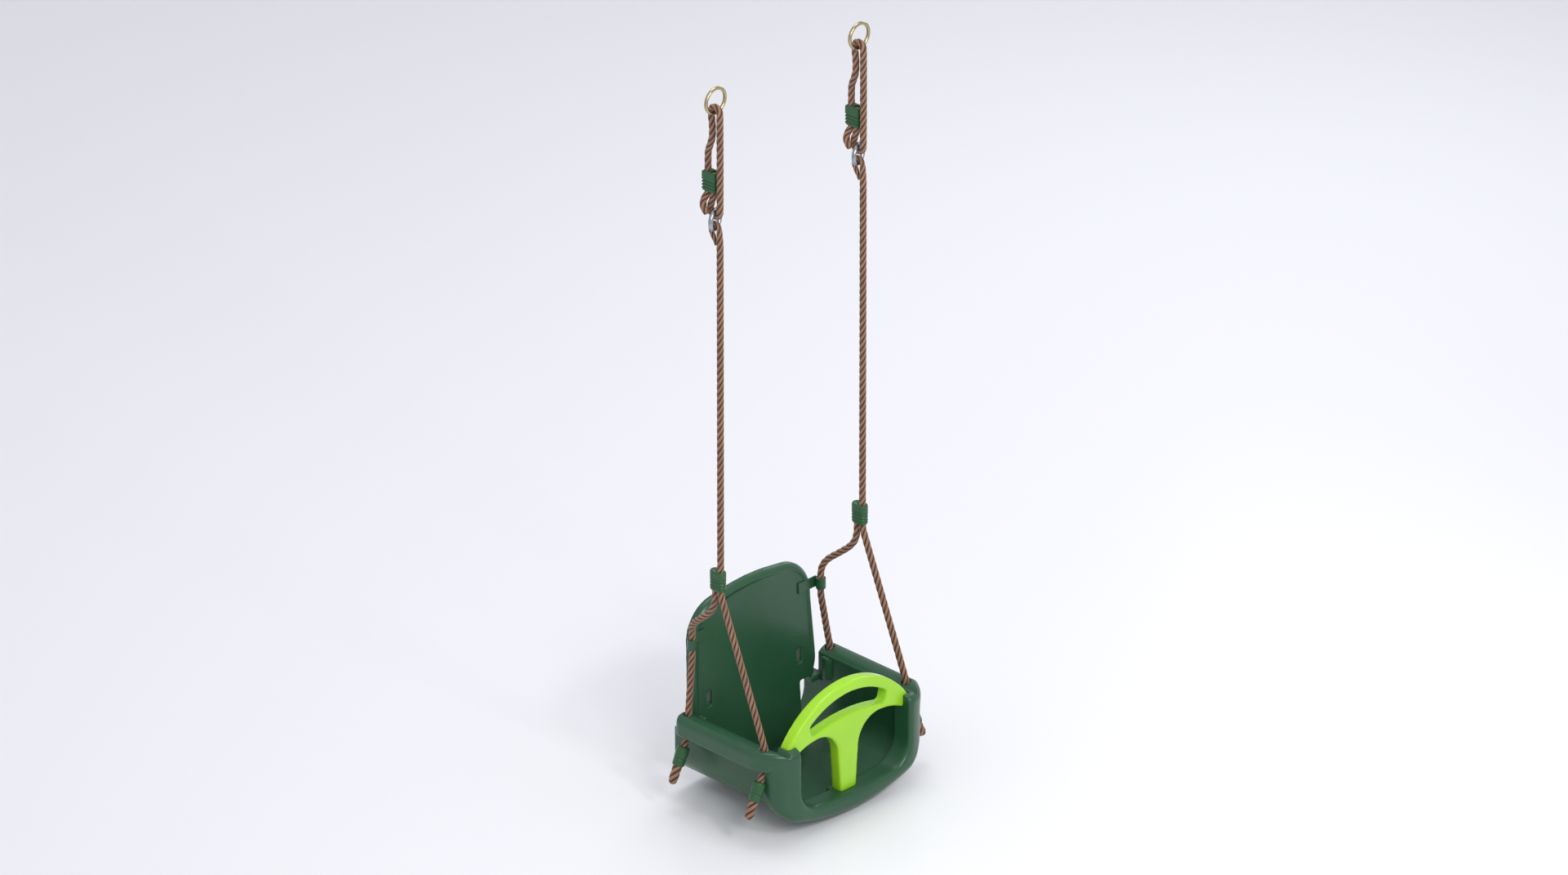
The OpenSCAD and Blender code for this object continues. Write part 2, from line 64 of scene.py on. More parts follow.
back = Vector((math.sin(AZIMUTH) * math.cos(ELEVATION), -math.cos(AZIMUTH) * math.cos(ELEVATION),
               math.sin(ELEVATION)))
right = Vector((math.cos(AZIMUTH), math.sin(AZIMUTH), 0))
up = Vector((-math.sin(AZIMUTH) * math.sin(ELEVATION), math.cos(AZIMUTH) * math.sin(ELEVATION),
             math.cos(ELEVATION)))
camera_data = bpy.data.cameras.new("camera")
camera_data.lens = camera_data.sensor_width * CAMERA_DISTANCE / PICTURE_WIDTH
camera_data.clip_end = 100
camera = bpy.data.objects.new("camera", camera_data)
camera.location = AIM_RIGHT * right + AIM_UP * up + CAMERA_DISTANCE * back
camera.rotation_euler = back.to_track_quat("Z", "Y").to_euler()
bpy.context.scene.collection.objects.link(camera)
bpy.context.scene.camera = camera
bpy.context.scene.view_settings.view_transform = "Standard"


def mesh_object(name, points, faces, smooth=True):
    """A mesh object from points and faces, joined to the scene, with outward normals."""
    mesh = bpy.data.meshes.new(name)
    mesh.from_pydata([tuple(p) for p in points], [], faces)
    mesh.validate()
    work = bmesh.new()
    work.from_mesh(mesh)
    bmesh.ops.recalc_face_normals(work, faces=work.faces)
    work.to_mesh(mesh)
    work.free()
    mesh.polygons.foreach_set("use_smooth", [smooth] * len(mesh.polygons))
    made = bpy.data.objects.new(name, mesh)
    bpy.context.scene.collection.objects.link(made)
    return made


def new_material(name):
    """A material with its Principled shader, its node list and its links."""
    made = bpy.data.materials.new(name)
    made.use_nodes = True
    tree = made.node_tree
    return made, tree, tree.nodes["Principled BSDF"]


def sweep_backdrop():
    """Floor that turns up into a wall far behind the swing."""
    floor_z = cad_box[0][2] - FLOOR_CLEARANCE
    half_width, front, depth, bend, height, steps = 14.0, -16.0, 7.5, 3.0, 14.0, 24
    outline = [(front, 0.0), (depth, 0.0)]
    outline += [(depth + bend * math.sin(math.radians(90 * i / steps)),
                 bend * (1 - math.cos(math.radians(90 * i / steps)))) for i in range(1, steps + 1)]
    outline += [(depth + bend, height)]
    turn = Matrix.Rotation(AZIMUTH, 3, "Z")
    points = []
    for along, z in outline:
        for x in (-half_width, half_width):
            points.append(turn @ Vector((x, along, 0)) + Vector((0, 0, floor_z + z)))
    faces = [(2 * i, 2 * i + 1, 2 * i + 3, 2 * i + 2) for i in range(len(outline) - 1)]
    made = mesh_object("studio_sweep", points, faces)
    material, tree, shader = new_material("studio_white")
    shader.inputs["Base Color"].default_value = (0.86, 0.86, 0.875, 1)
    shader.inputs["Roughness"].default_value = 0.28
    shader.inputs["Specular IOR Level"].default_value = 0.35
    made.data.materials.append(material)


sweep_backdrop()


def area_light(name, place, aim, size, power, colour):
    """A square soft light at place that looks at aim."""
    data = bpy.data.lights.new(name, "AREA")
    data.size = size
    data.energy = power
    data.color = colour
    made = bpy.data.objects.new(name, data)
    made.location = place
    made.rotation_euler = (Vector(place) - Vector(aim)).to_track_quat("Z", "Y").to_euler()
    bpy.context.scene.collection.objects.link(made)


area_light("key", (-1.6, -3.0, 1.4), (0, 0, -1.0), 1.2, 44, (1, 0.985, 0.96))
area_light("top", (0.6, 0.6, 2.6), (0, 0, -1.1), 1.6, 36, (0.97, 0.98, 1))
area_light("strip", (-0.3, -2.4, 1.1), (0, -0.1, -1.2), 0.35, 16, (1, 1, 1))
area_light("rim", (2.8, 1.0, 0.4), (0, 0, -1.1), 1.2, 12, (0.95, 0.97, 1))
world = bpy.data.worlds.new("sky")
world.use_nodes = True
world.node_tree.nodes["Background"].inputs["Color"].default_value = (0.93, 0.94, 1.0, 1)
world.node_tree.nodes["Background"].inputs["Strength"].default_value = 0.74
bpy.context.scene.world = world


# Ropes: brown four-strand laid polypropylene, 12 mm thick, laid to the right.
# Each side has an adjuster rope round its rings, a main rope from its spliced eye to the front
# hole, and a back rope from the junction sleeve to the back hole. Doubled tails end them.
ROPE_RADIUS = 0.006
ROPE_X = 0.176
STRANDS = 4
LAY_LENGTH = 0.056
RING_SPACING = 0.0021
RING_POINTS = 32
GROOVE_DEPTH = 0.24
ADJUSTER = [
    (-13, 8, -213, 0.9), (-13, 12, -209.5, 1), (-12, 17.5, -203, 1), (-8, 21.5, -196, 1),
    (-3, 21, -188, 1), (0, 18.5, -180, 1), (0, 17.5, -174, 1), (0, 17.5, -103, 1),
    (0, 12.5, -87, 1), (0, 8, -72, 1), (0, 7.5, -50, 1), (0, 10, -28, 1), (0, 9.2, -18, 1),
    (0, 5.3, -13.9, 1),
    (0, 0, -12.5, 1), (0, -5.3, -13.9, 1), (0, -9.2, -18, 1), (0, -10.5, -24, 1),
    (0, -10.5, -209, 1), (0, -9, -215, 1), (0, -5, -219.2, 1), (0, 1, -220.8, 1),
    (0, 7, -219.2, 1), (0, 11, -215, 1), (0, 12.5, -209, 1), (0, 10.5, -199, 1),
    (0, 6, -186, 1), (0, 4, -177, 1), (0, 4, -141, 1)]
MAIN_TOP = [
    (0, -1, -276, 0.4), (0, 2, -267, 0.6), (0, 6, -259.5, 0.75), (0, 9.5, -252, 0.77),
    (0, 10.7, -244.7, 0.77), (0, 9, -239.3, 0.77), (0, 5.5, -236, 0.77), (0, 1, -235, 0.77),
    (0, -3.5, -236, 0.77), (0, -7, -239.3, 0.77), (0, -8.7, -244.7, 0.8), (0, -9.6, -256, 0.9),
    (0, -10.5, -276, 1), (0, -10.5, -900, 1), (0, -10.5, -944, 1)]
MAIN_FOOT = [
    (0, -12, -954, 1), (0, -19, -972, 1), (0, -114, -1205, 1), (0, -117.5, -1217, 1),
    (0, -117.5, -1246, 1)]
BACK_TOP = [
    (0, 2.1, -914, 1), (0, 2.1, -950, 1), (0, 3, -966, 1), (0, 8, -983, 1), (-1, 20, -999, 1),
    (-4, 43, -1019, 1), (-10, 64, -1037, 1), (-14, 73, -1052, 1), (-16, 75, -1068, 1),
    (-16, 75, -1104, 1), (-14, 74.4, -1120, 1), (-2, 69.5, -1200, 1), (0, 68.5, -1212, 1),
    (0, 68.5, -1246, 1)]
TAIL = [
    (3.2, -1256.5, 1), (21.4, -1293.8, 1), (21.8, -1294.7, 1.35), (38, -1327.9, 1.35),
    (40.6, -1333.2, 1.15), (41.9, -1335.9, 0.6)]


def with_tail(route):
    """A route in millimetres with its stopped, doubled tail."""
    y = route[-1][1]
    return route + [(x, y, z, share) for x, z, share in TAIL]


def routed(route, side, lean):
    """The route in metres, as (place, radius) pairs."""
    return [(Vector((side * ROPE_X + lean * x / 1000, y / 1000, z / 1000)), share * ROPE_RADIUS)
            for x, y, z, share in route]


def smooth_route(knots):
    """Places and radii along a curve through the knots, one RING_SPACING apart."""
    places, radii = [], []
    for i in range(len(knots) - 1):
        (p1, r1), (p2, r2) = knots[i], knots[i + 1]
        p0 = knots[i - 1][0] if i else p1
        p3 = knots[i + 2][0] if i + 2 < len(knots) else p2
        gap = (p2 - p1).length
        leave = (p2 - p0).normalized() * gap if i else p2 - p1
        arrive = (p3 - p1).normalized() * gap if i + 2 < len(knots) else p2 - p1
        steps = max(1, round(gap / RING_SPACING))
        for k in range(steps):
            t = k / steps
            t2, t3 = t * t, t * t * t
            places.append((2 * t3 - 3 * t2 + 1) * p1 + (t3 - 2 * t2 + t) * leave
                          + (3 * t2 - 2 * t3) * p2 + (t3 - t2) * arrive)
            radii.append(r1 + (r2 - r1) * t)
    places.append(knots[-1][0])
    radii.append(knots[-1][1])
    return places, radii


def laid_rope(name, knots):
    """A rope mesh whose strands turn about the route, with its UV map along the strands."""
    places, radii = smooth_route(knots)
    count = len(places)
    tangents = [(places[min(i + 1, count - 1)] - places[max(i - 1, 0)]).normalized()
                for i in range(count)]
    side = tangents[0].orthogonal().normalized()
    points, travelled, turns = [], 0.0, []
    for i in range(count):
        if i:
            travelled += (places[i] - places[i - 1]).length
            side = (side - side.dot(tangents[i]) * tangents[i]).normalized()
        across = tangents[i].cross(side)
        turn = 2 * math.pi * travelled / LAY_LENGTH
        turns.append(travelled / LAY_LENGTH)
        for k in range(RING_POINTS):
            angle = 2 * math.pi * k / RING_POINTS
            lobe = abs(math.remainder(angle, 2 * math.pi / STRANDS)) * STRANDS / math.pi
            reach = radii[i] * (1.04 - GROOVE_DEPTH * lobe ** 3)
            spoke = math.cos(angle + turn) * side + math.sin(angle + turn) * across
            points.append(places[i] + reach * spoke)
    faces = []
    for i in range(count - 1):
        for k in range(RING_POINTS):
            j = (k + 1) % RING_POINTS
            a, b = i * RING_POINTS, (i + 1) * RING_POINTS
            faces.append((a + k, a + j, b + j, b + k))
    ends = [(0, 0), (count - 1, (count - 1) * RING_POINTS)]
    for i, first in ends:
        outward = -tangents[0] if i == 0 else tangents[-1]
        points.append(places[i] + 0.35 * radii[i] * outward)
        centre = len(points) - 1
        faces += [(first + k, first + (k + 1) % RING_POINTS, centre) for k in range(RING_POINTS)]
    made = mesh_object(name, points, faces)
    layer = made.data.uv_layers.new(name="strands")
    for polygon in made.data.polygons:
        columns = [v % RING_POINTS for v in polygon.vertices if v < count * RING_POINTS]
        wraps = max(columns) - min(columns) > 1
        for loop in polygon.loop_indices:
            vertex = made.data.loops[loop].vertex_index
            if vertex >= count * RING_POINTS:
                layer.data[loop].uv = (0.5, 0)
                continue
            column = vertex % RING_POINTS
            if wraps and column == 0:
                column = RING_POINTS
            layer.data[loop].uv = (column * STRANDS / RING_POINTS, turns[vertex // RING_POINTS])
    return made


def grime_group():
    """Slow colour drift and fine speckle over any surface, as a mask and a height."""
    group = bpy.data.node_groups.new("surface_drift", "ShaderNodeTree")
    group.interface.new_socket("Scale", in_out="INPUT", socket_type="NodeSocketFloat").default_value = 20
    fine_scale = group.interface.new_socket("Fine Scale", in_out="INPUT", socket_type="NodeSocketFloat")
    fine_scale.default_value = 900
    group.interface.new_socket("Drift", in_out="OUTPUT", socket_type="NodeSocketFloat")
    group.interface.new_socket("Speckle", in_out="OUTPUT", socket_type="NodeSocketFloat")
    taken = group.nodes.new("NodeGroupInput")
    given = group.nodes.new("NodeGroupOutput")
    place = group.nodes.new("ShaderNodeTexCoord")
    for socket, result, detail in (("Scale", "Drift", 3), ("Fine Scale", "Speckle", 2)):
        noise = group.nodes.new("ShaderNodeTexNoise")
        noise.inputs["Detail"].default_value = detail
        group.links.new(place.outputs["Object"], noise.inputs["Vector"])
        group.links.new(taken.outputs[socket], noise.inputs["Scale"])
        group.links.new(noise.outputs["Fac"], given.inputs[result])
    return group


SURFACE_DRIFT = grime_group()


def drift_node(tree, scale, fine_scale):
    """The surface drift group placed in a material with its own scales."""
    placed = tree.nodes.new("ShaderNodeGroup")
    placed.node_tree = SURFACE_DRIFT
    placed.inputs["Scale"].default_value = scale
    placed.inputs["Fine Scale"].default_value = fine_scale
    return placed


def ramp_node(tree, value, stops):
    """A colour ramp fed by value, with its stops as (place, colour)."""
    ramp = tree.nodes.new("ShaderNodeValToRGB")
    ramp.color_ramp.elements[0].position, ramp.color_ramp.elements[0].color = stops[0]
    ramp.color_ramp.elements[1].position, ramp.color_ramp.elements[1].color = stops[-1]
    for position, colour in stops[1:-1]:
        ramp.color_ramp.elements.new(position).color = colour
    tree.links.new(value, ramp.inputs["Fac"])
    return ramp.outputs["Color"]


def maths(tree, operation, first, second=None):
    """A Math node on two values or sockets."""
    node = tree.nodes.new("ShaderNodeMath")
    node.operation = operation
    for i, value in enumerate((first, second)):
        if value is None:
            continue
        if isinstance(value, (int, float)):
            node.inputs[i].default_value = value
        else:
            tree.links.new(value, node.inputs[i])
    return node.outputs["Value"]


def mixed(tree, kind, factor, first, second):
    """A colour mix of two sockets or colours."""
    node = tree.nodes.new("ShaderNodeMix")
    node.data_type = "RGBA"
    node.blend_type = kind
    for socket, value in (("Factor", factor), ("A", first), ("B", second)):
        slot = next(s for s in node.inputs if s.name == socket and s.enabled)
        if isinstance(value, (int, float, tuple)):
            slot.default_value = value
        else:
            tree.links.new(value, slot)
    return next(s for s in node.outputs if s.enabled)


def bump(tree, shader, height, strength, distance):
    """Feeds a height to the shader's normal."""
    node = tree.nodes.new("ShaderNodeBump")
    node.inputs["Strength"].default_value = strength
    node.inputs["Distance"].default_value = distance
    tree.links.new(height, node.inputs["Height"])
    tree.links.new(node.outputs["Normal"], shader.inputs["Normal"])


def rope_material():
    """Brown fibre: painted shade in the grooves, fine yarns along each strand, faded patches."""
    material, tree, shader = new_material("brown_rope")
    uv = tree.nodes.new("ShaderNodeUVMap")
    uv.uv_map = "strands"
    split = tree.nodes.new("ShaderNodeSeparateXYZ")
    tree.links.new(uv.outputs["UV"], split.inputs["Vector"])
    # Painted shade: the colour darkens from each strand's crown into the grooves between strands.
    angle = maths(tree, "MULTIPLY", split.outputs["X"], math.pi)
    crown = maths(tree, "ABSOLUTE", maths(tree, "COSINE", angle))
    shade = ramp_node(tree, crown, [(0.14, (0.018, 0.007, 0.003, 1)), (0.46, (0.140, 0.066, 0.034, 1)),
                                    (0.9, (0.330, 0.175, 0.105, 1))])
    stretch = tree.nodes.new("ShaderNodeMapping")
    stretch.inputs["Scale"].default_value = (11, 3.4, 1)
    stretch.inputs["Rotation"].default_value = (0, 0, math.radians(24))
    tree.links.new(uv.outputs["UV"], stretch.inputs["Vector"])
    yarns = tree.nodes.new("ShaderNodeTexNoise")
    yarns.inputs["Scale"].default_value = 1.6
    yarns.inputs["Detail"].default_value = 4
    tree.links.new(stretch.outputs["Vector"], yarns.inputs["Vector"])
    drift = drift_node(tree, 26, 1400)
    yarn_tone = ramp_node(tree, yarns.outputs["Fac"],
                          [(0.3, (0.62, 0.60, 0.58, 1)), (0.7, (1.25, 1.22, 1.2, 1))])
    fade = ramp_node(tree, drift.outputs["Drift"],
                     [(0.3, (0.86, 0.84, 0.82, 1)), (0.7, (1.12, 1.12, 1.12, 1))])
    colour = mixed(tree, "MULTIPLY", 0.9, shade, yarn_tone)
    colour = mixed(tree, "MULTIPLY", 0.8, colour, fade)
    tree.links.new(colour, shader.inputs["Base Color"])
    shader.inputs["Roughness"].default_value = 0.62
    shader.inputs["Specular IOR Level"].default_value = 0.35
    shader.inputs["Sheen Weight"].default_value = 0.25
    shader.inputs["Sheen Roughness"].default_value = 0.5
    bump(tree, shader, maths(tree, "ADD", yarns.outputs["Fac"], drift.outputs["Speckle"]), 0.55, 0.0006)
    return material


BROWN_ROPE = rope_material()
for side_name, side in SIDES.items():
    runs = (("adjuster_rope", ADJUSTER, 1, side_name + "_adjuster"),
            ("main_rope", with_tail(MAIN_TOP + MAIN_FOOT), side, "seat"),
            ("back_rope", with_tail(BACK_TOP), side, "seat"))
    for rope_name, route, lean, body in runs:
        rope = laid_rope("laid_" + rope_name + "_" + side_name, routed(route, side, lean))
        rope.data.materials.append(BROWN_ROPE)
        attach(rope, body)
        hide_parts(rope_name + "_" + side_name)


# Moulded plastic: glossy injection-moulded seat parts and satin rope fittings.
# Every edge that the mould leaves is soft. The surface has a fine grain, faint scuffs, painted
# shade that darkens the hollows, and edges that wear paler.
def wear_and_shade_group():
    """Edge wear and painted hollow shade masks from the surface's own convexity."""
    group = bpy.data.node_groups.new("edge_wear_and_painted_shade", "ShaderNodeTree")
    scuff_scale = group.interface.new_socket("Scuff Scale", in_out="INPUT", socket_type="NodeSocketFloat")
    scuff_scale.default_value = 60
    group.interface.new_socket("Edge", in_out="OUTPUT", socket_type="NodeSocketFloat")
    group.interface.new_socket("Hollow Shade", in_out="OUTPUT", socket_type="NodeSocketFloat")
    group.interface.new_socket("Scuff", in_out="OUTPUT", socket_type="NodeSocketFloat")
    taken = group.nodes.new("NodeGroupInput")
    given = group.nodes.new("NodeGroupOutput")
    surface = group.nodes.new("ShaderNodeNewGeometry")
    edge = ramp_node(group, surface.outputs["Pointiness"], [(0.515, (0, 0, 0, 1)), (0.60, (1, 1, 1, 1))])
    # Painted shade: concave places, where shade falls, get a mask that darkens them.
    hollow = ramp_node(group, surface.outputs["Pointiness"],
                       [(0.40, (1, 1, 1, 1)), (0.485, (0, 0, 0, 1))])
    place = group.nodes.new("ShaderNodeTexCoord")
    stretch = group.nodes.new("ShaderNodeMapping")
    stretch.inputs["Scale"].default_value = (1, 0.16, 1)
    stretch.inputs["Rotation"].default_value = (0.4, 0.3, 0.9)
    group.links.new(place.outputs["Object"], stretch.inputs["Vector"])
    scuff = group.nodes.new("ShaderNodeTexNoise")
    scuff.inputs["Detail"].default_value = 5
    group.links.new(stretch.outputs["Vector"], scuff.inputs["Vector"])
    group.links.new(taken.outputs["Scuff Scale"], scuff.inputs["Scale"])
    thin = ramp_node(group, scuff.outputs["Fac"], [(0.56, (0, 0, 0, 1)), (0.72, (1, 1, 1, 1))])
    group.links.new(edge, given.inputs["Edge"])
    group.links.new(hollow, given.inputs["Hollow Shade"])
    group.links.new(thin, given.inputs["Scuff"])
    return group


EDGE_WEAR_AND_SHADE = wear_and_shade_group()


def plastic_material(name, colour, pale, hollow_shade, roughness, grain, coat):
    """Moulded plastic: colour, its worn and shaded tones, roughness, grain height and clear gloss."""
    material, tree, shader = new_material(name)
    drift = drift_node(tree, 9, 1500)
    wear = tree.nodes.new("ShaderNodeGroup")
    wear.node_tree = EDGE_WEAR_AND_SHADE
    wear.inputs["Scuff Scale"].default_value = 70
    tone = ramp_node(tree, drift.outputs["Drift"],
                     [(0.3, (0.93, 0.93, 0.93, 1)), (0.7, (1.06, 1.06, 1.06, 1))])
    base = mixed(tree, "MULTIPLY", 1.0, colour, tone)
    base = mixed(tree, "MIX", maths(tree, "MULTIPLY", wear.outputs["Edge"], 0.22), base, pale)
    # Painted shade: hollows are darkened toward the shaded tone.
    base = mixed(tree, "MIX", maths(tree, "MULTIPLY", wear.outputs["Hollow Shade"], 0.45), base, hollow_shade)
    base = mixed(tree, "MIX", maths(tree, "MULTIPLY", wear.outputs["Scuff"], 0.05), base, pale)
    tree.links.new(base, shader.inputs["Base Color"])
    rough = maths(tree, "MULTIPLY", wear.outputs["Scuff"], 0.08)
    rough = maths(tree, "ADD", rough, maths(tree, "MULTIPLY", drift.outputs["Drift"], 0.08))
    tree.links.new(maths(tree, "ADD", rough, roughness - 0.04), shader.inputs["Roughness"])
    shader.inputs["Specular IOR Level"].default_value = 0.32
    shader.inputs["Coat Weight"].default_value = coat
    shader.inputs["Coat Roughness"].default_value = 0.22
    bump(tree, shader, drift.outputs["Speckle"], grain, 0.0004)
    return material


# The third colour of each material is the painted shade for its hollows.
SEAT_GREEN = plastic_material("seat_green", (0.019, 0.082, 0.036, 1), (0.050, 0.145, 0.080, 1),
                              (0.006, 0.030, 0.014, 1), 0.36, 0.10, 0.30)
FITTING_GREEN = plastic_material("fitting_green", (0.024, 0.098, 0.034, 1), (0.060, 0.180, 0.075, 1),
                                 (0.005, 0.024, 0.009, 1), 0.32, 0.16, 0.10)
LIME = plastic_material("lime_bar", (0.350, 0.690, 0.020, 1), (0.47, 0.78, 0.06, 1),
                        (0.17, 0.40, 0.012, 1), 0.22, 0.06, 0.35)


def node_copy(node, name, extras=()):
    """A separate mesh with a CAD node's shape, joined with closed extra shapes."""
    made = bpy.data.objects.new(name, nodes[node].data.copy())
    made.matrix_world = nodes[node].matrix_world.copy()
    bpy.context.scene.collection.objects.link(made)
    work = bmesh.new()
    work.from_mesh(made.data)
    bmesh.ops.transform(work, matrix=made.matrix_world, verts=work.verts)
    for extra in extras:
        work.from_mesh(extra.data)
        bpy.data.objects.remove(extra)
    work.to_mesh(made.data)
    work.free()
    made.matrix_world = Matrix.Identity(4)
    return made


def softened(made, voxel, passes):
    """Rebuilds a mesh on an even grid and rounds its edges over a few voxels."""
    rebuild = made.modifiers.new("rebuild", "REMESH")
    rebuild.mode = "VOXEL"
    rebuild.voxel_size = voxel
    rebuild.use_smooth_shade = True
    round_off = made.modifiers.new("round_off", "SMOOTH")
    round_off.factor = 0.5
    round_off.iterations = passes
    bpy.context.view_layer.update()
    finished = bpy.data.meshes.new_from_object(made.evaluated_get(bpy.context.evaluated_depsgraph_get()))
    made.modifiers.clear()
    made.data = finished
    finished.polygons.foreach_set("use_smooth", [True] * len(finished.polygons))
    return made


def dress(made, material, body, node):
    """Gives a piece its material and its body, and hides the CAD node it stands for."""
    made.data.materials.clear()
    made.data.materials.append(material)
    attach(made, body)
    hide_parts(node)


# Seat shell, backrest and crossbar: the three big mouldings.
# The shell is a bucket with rolled side rims and a rolled front lip, the backrest a curved-edge
# panel with a rolled flange, and the crossbar a thick lime arch on one stem.
SHELL_VOXEL, SHELL_PASSES = 0.0020, 6
BACKREST_VOXEL, BACKREST_PASSES = 0.0017, 3
CROSSBAR_VOXEL, CROSSBAR_PASSES = 0.0015, 60
ROPE_LINE_Y, RIM_TOP_Z = -0.0105, -1.214

# Rims: crowned across their width, and drawn in at the back corners.
RIM_INNER, RIM_OUTER, RIM_CROWN_X = 0.162, 0.199, 0.182
RIM_CROWN_DROP, RIM_CROWN_FADE = 0.0075, 0.030
RIM_BACK, RIM_BACK_ROUND = 0.092, 0.014

# Front lip: a fat roll round the opening, rounder outside than inside.
FRONT, PLAN_CORNER, LIP_DEPTH_ROUND = 0.160, 0.068, 0.036
LIP_HALF, LIP_BOTTOM, LIP_CORNER, LIP_SAG = 0.183, 0.168, 0.068, 0.420
MOUTH_HALF, MOUTH_BOTTOM, MOUTH_CORNER, MOUTH_SAG = 0.134, 0.1322, 0.048, 0.840
LIP_ROUND, MOUTH_ROUND, LIP_START_Z, LIP_BLEND = 0.019, 0.010, -0.022, 0.022
LIP_TOP_ROUND, LIP_TOP_DEPTH = 0.015, 0.0195

# Backrest: leans back, its edge is a rolled bead and its middle a touch hollow.
BACK_LEAN, BACK_FACE_Y = math.radians(3.5), 0.091
BACK_HEIGHT, BACK_HALF_RIM, BACK_HALF_TOP, BACK_CORNER = 0.195, 0.156, 0.151, 0.072
BACK_TOP_CROWN = 0.008
BACK_DEPTH, BEAD_ROUND, BEAD_AT, BEAD_RISE, BEAD_WIDTH = 0.013, 0.010, 0.0095, 0.0026, 0.0042


def mesh_points(made):
    """A mesh's points as an array."""
    points = np.empty(3 * len(made.data.vertices))
    made.data.vertices.foreach_get("co", points)
    return points.reshape(-1, 3)


def set_points(made, points):
    """Puts changed points back in a mesh."""
    made.data.vertices.foreach_set("co", points.ravel())
    made.data.update()


def crown_rims(made):
    """Drops the rims' inner edge in a soft crown and rounds their back corners in plan."""
    points = mesh_points(made)
    x, y, z = np.abs(points[:, 0]), points[:, 1] - ROPE_LINE_Y, points[:, 2] - RIM_TOP_Z
    inside = np.clip((RIM_CROWN_X - x) / (RIM_CROWN_X - RIM_INNER), 0, 1) * (x > RIM_INNER - 0.006)
    level = np.clip(1 + z / RIM_CROWN_FADE, 0, 1)
    points[:, 2] -= RIM_CROWN_DROP * inside ** 2 * level
    near_back = np.clip((y - RIM_BACK + RIM_BACK_ROUND) / RIM_BACK_ROUND, 0, 1)
    outward = np.clip((x - RIM_INNER) / (RIM_OUTER - RIM_INNER), 0, 1)
    pulled_in = 0.5 * RIM_BACK_ROUND * (1 - np.sqrt(1 - near_back ** 2))
    points[:, 0] -= np.sign(points[:, 0]) * pulled_in * outward
    set_points(made, points)


def arc(cx, cy, r, start, end, steps):
    """Points along a round stretch, angles in degrees."""
    angles = [math.radians(start + (end - start) * i / steps) for i in range(steps + 1)]
    return [(cx + r * math.cos(a), cy + r * math.sin(a)) for a in angles]


def half_trough(half, bottom, corner, sag):
    """Right half of a U-shaped outline whose floor is an arc that meets round corners."""
    cx, sag_z = half - corner, sag - bottom
    cz = sag_z - math.sqrt((sag - corner) ** 2 - cx * cx)
    meet = math.degrees(math.atan2(cz - sag_z, cx))
    return ([(half, 0.05)] + arc(cx, cz, corner, 0, meet, 24) + arc(0, sag_z, sag, meet, -90, 12))


def gap_to(outline, x, z):
    """Distance of each point from an outline."""
    gap = np.full(len(x), 1.0)
    for (xa, za), (xb, zb) in zip(outline, outline[1:]):
        dx, dz = xb - xa, zb - za
        t = np.clip(((x - xa) * dx + (z - za) * dz) / (dx * dx + dz * dz), 0, 1)
        gap = np.minimum(gap, np.hypot(x - xa - t * dx, z - za - t * dz))
    return gap


def quarter_round(gap, size):
    """How far a quarter round of that size falls away at each distance from the edge."""
    inside = np.clip(1 - gap / size, 0, 1)
    return size * (1 - np.sqrt(1 - inside ** 2))


def round_lip(made):
    """Rounds the front lip's outer and inner edges by pushing its front face back there."""
    points = mesh_points(made)
    x, y, z = np.abs(points[:, 0]), points[:, 1] - ROPE_LINE_Y, points[:, 2] - RIM_TOP_Z
    bend = np.clip(x - (RIM_OUTER - PLAN_CORNER), 0, PLAN_CORNER)
    face = -(FRONT - PLAN_CORNER) - np.sqrt(PLAN_CORNER ** 2 - bend ** 2)
    depth = np.clip((y - face) / LIP_DEPTH_ROUND, 0, 1)
    below = np.clip((LIP_START_Z - z) / LIP_BLEND, 0, 1)
    outer = quarter_round(gap_to(half_trough(LIP_HALF, LIP_BOTTOM, LIP_CORNER, LIP_SAG), x, z), LIP_ROUND)
    inner = quarter_round(gap_to(half_trough(MOUTH_HALF, MOUTH_BOTTOM, MOUTH_CORNER, MOUTH_SAG), x, z),
                          MOUTH_ROUND)
    points[:, 1] += (0.85 * outer * below + 0.9 * inner) * (1 - depth)
    top_depth = np.clip((y - face) / LIP_TOP_DEPTH, 0, 1)
    points[:, 1] += 0.9 * quarter_round(np.maximum(-z, 0), LIP_TOP_ROUND) * (1 - top_depth)
    set_points(made, points)


def backrest_outline():
    """Right half of the backrest's edge from the rim up to the middle of its top."""
    outline = [(BACK_HALF_RIM, -0.3), (BACK_HALF_RIM, 0.0), (BACK_HALF_TOP, 0.099)]
    corner_z = BACK_HEIGHT - BACK_TOP_CROWN - BACK_CORNER
    outline += arc(BACK_HALF_TOP - BACK_CORNER, corner_z, BACK_CORNER, 0, 80, 16)
    return outline + [(0.040, BACK_HEIGHT - 0.002), (0.0, BACK_HEIGHT)]


def roll_edge(made):
    """Turns the backrest's square edge into a rolled bead."""
    points = mesh_points(made)
    cos, sin = math.cos(BACK_LEAN), math.sin(BACK_LEAN)
    y0, z0 = points[:, 1] - ROPE_LINE_Y - BACK_FACE_Y, points[:, 2] - RIM_TOP_Z
    x, y, z = np.abs(points[:, 0]), y0 * cos - z0 * sin, z0 * cos + y0 * sin
    edge = gap_to(backrest_outline(), x, z)
    above = np.clip((z + 0.035) / 0.030, 0, 1)
    drop = 0.8 * quarter_round(edge, BEAD_ROUND)
    rise = BEAD_RISE * np.exp(-((edge - BEAD_AT) / BEAD_WIDTH) ** 2)
    depth = np.clip(y, 0, BACK_DEPTH) / BACK_DEPTH
    y = y + above * (drop - rise) * (1 - depth)
    points[:, 1] = ROPE_LINE_Y + BACK_FACE_Y + y * cos + z * sin
    points[:, 2] = RIM_TOP_Z - y * sin + z * cos
    set_points(made, points)


